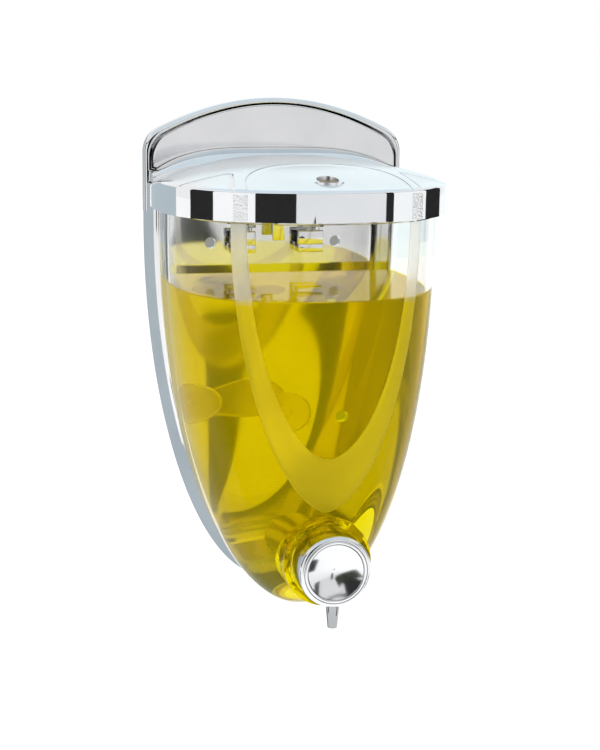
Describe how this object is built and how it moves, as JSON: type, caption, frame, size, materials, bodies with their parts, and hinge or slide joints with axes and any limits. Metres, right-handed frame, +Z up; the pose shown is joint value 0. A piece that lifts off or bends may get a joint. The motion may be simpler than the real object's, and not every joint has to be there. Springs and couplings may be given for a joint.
{
  "type": "wall mounted soap dispenser",
  "caption": "Wall mounted push soap dispenser: arched back plate with shield tray, clear rounded tank, hinged crowned lid with lock, round push button and small nozzle.",
  "frame": {"origin": "on the wall face, at the centre of the four screw holes", "axes": "+Z up, wall at y = 0, front towards -Y, +X to the right seen from the front"},
  "size_m": [0.1246, 0.1245, 0.228],
  "materials": {
    "chrome_shell": "bright chrome plating on ABS",
    "chrome_button": "bright chrome plating on ABS",
    "clear_plastic": "clear, with a satin band",
    "white_plastic": "moulded",
    "seal_rubber": "smooth",
    "steel": "bright",
    "lock_brass": "dull brass"
  },
  "bodies": {
    "base": {"wall_plate": "chrome_shell", "tank": "clear_plastic", "hinge_pins": "steel", "boss_ring": "clear_plastic", "pump_body": "white_plastic", "pump_gasket": "seal_rubber", "pump_nut": "white_plastic", "guide_bush": "white_plastic", "inlet_seat": "white_plastic"},
    "lid": {"lid": "chrome_shell"},
    "lock": {"lock_barrel": "lock_brass", "lock_cam": "steel", "lock_screw": "steel"},
    "button": {"push_button": "chrome_button", "nozzle": "chrome_button", "piston": "white_plastic", "piston_rings": "seal_rubber", "return_spring": "steel"},
    "inlet_valve": {"inlet_ball": "steel"},
    "outlet_valve": {"outlet_ball": "steel"}
  },
  "joints": [
    {"name": "lid_hinge", "type": "hinge", "parent": "base", "child": "lid", "pos_m": [0, -0.0285, 0.0752], "axis": [-1, 0, 0], "range_deg": [0, 70]},
    {"name": "lock_turn", "type": "hinge", "parent": "lid", "child": "lock", "pos_m": [0, -0.1012, 0.07], "axis": [0, 0, -1], "range_deg": [0, 90]},
    {"name": "button_push", "type": "slide", "parent": "base", "child": "button", "axis": [0, 1, 0], "range_m": [0, 0.005], "stiffness_N_per_m": 400, "springref_m": -0.005},
    {"name": "inlet_valve_lift", "type": "slide", "parent": "base", "child": "inlet_valve", "axis": [0, -1, 0], "range_m": [0, 0.0012]},
    {"name": "outlet_valve_lift", "type": "slide", "parent": "button", "child": "outlet_valve", "axis": [0, -1, 0], "range_m": [0, 0.0012]}
  ]
}
